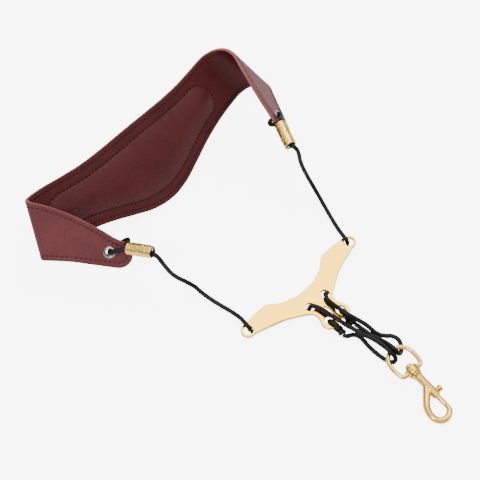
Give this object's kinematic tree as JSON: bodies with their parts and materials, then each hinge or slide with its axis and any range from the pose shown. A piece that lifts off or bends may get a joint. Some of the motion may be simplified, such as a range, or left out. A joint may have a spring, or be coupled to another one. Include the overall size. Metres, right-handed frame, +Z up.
{
  "type": "saxophone neck strap",
  "caption": "Padded leather neck strap with two adjustable cords, a flat metal yoke and a swivelling spring-bolt snap hook that carries a wind instrument.",
  "frame": {"origin": "on the table under the middle of the strap's outline, cords left out", "axes": "+Z up from the table, +Y from the snap hook to the neck pad, +X to the right as seen from the hook end"},
  "size_m": [0.1995, 0.2805, 0.0607],
  "materials": {
    "outer_leather": "grained maroon leather",
    "lining_leather": "smooth dark maroon leather",
    "foam": "closed-cell foam, sealed in the pad",
    "eyelet_steel": "polished nickel",
    "ferrule_gold": "polished gold plate",
    "plate_gold": "polished gold plate",
    "hardware_gold": "polished gold plate",
    "cord": "braided black polyester over a pale core",
    "spring_steel": "bright spring wire"
  },
  "bodies": {
    "pad": {"pad_outer_leather": "outer_leather", "pad_lining": "lining_leather", "pad_foam": "foam", "left_eyelet": "eyelet_steel", "right_eyelet": "eyelet_steel", "left_eyelet_washer": "eyelet_steel", "right_eyelet_washer": "eyelet_steel", "left_ferrule": "ferrule_gold", "right_ferrule": "ferrule_gold", "left_upper_cord": "cord", "right_upper_cord": "cord"},
    "yoke": {"yoke_plate": "plate_gold", "left_knot": "cord", "right_knot": "cord"},
    "loops": {"left_lower_cord": "cord", "right_lower_cord": "cord"},
    "eye": {"swivel_eye": "hardware_gold"},
    "hook": {"swivel_post": "hardware_gold", "hook_body": "hardware_gold", "bolt_spring": "spring_steel"},
    "bolt": {"spring_bolt": "hardware_gold", "thumb_stud": "hardware_gold"}
  },
  "joints": [
    {"name": "yoke_slide", "type": "slide", "parent": "pad", "child": "yoke", "axis": [0, 1, 0], "range_m": [-0.03, 0.03], "deforming": ["left_upper_cord", "right_upper_cord"]},
    {"name": "loop_take_up", "type": "slide", "parent": "yoke", "child": "loops", "axis": [0, 1, 0], "range_m": [-0.0155, 0.0155], "deforming": ["left_lower_cord", "right_lower_cord"]},
    {"name": "eye_tilt", "type": "hinge", "parent": "loops", "child": "eye", "pos_m": [0.0138, -0.0846, 0.00555], "axis": [0.9954, -0.0958, 0], "range_deg": [-75, 75]},
    {"name": "hook_swivel", "type": "hinge", "parent": "eye", "child": "hook", "pos_m": [0.01179, -0.10546, 0.00419], "axis": [0.0956, 0.9933, 0.0645], "continuous": true},
    {"name": "bolt_slide", "type": "slide", "parent": "hook", "child": "bolt", "axis": [0.0956, 0.9933, 0.0645], "range_m": [0, 0.0065], "stiffness_N_per_m": 400, "springref_m": -0.004, "deforming": ["bolt_spring"]}
  ],
  "couplings": [
    {"joint": "loop_take_up", "follows": "yoke_slide", "ratio": -0.5}
  ]
}
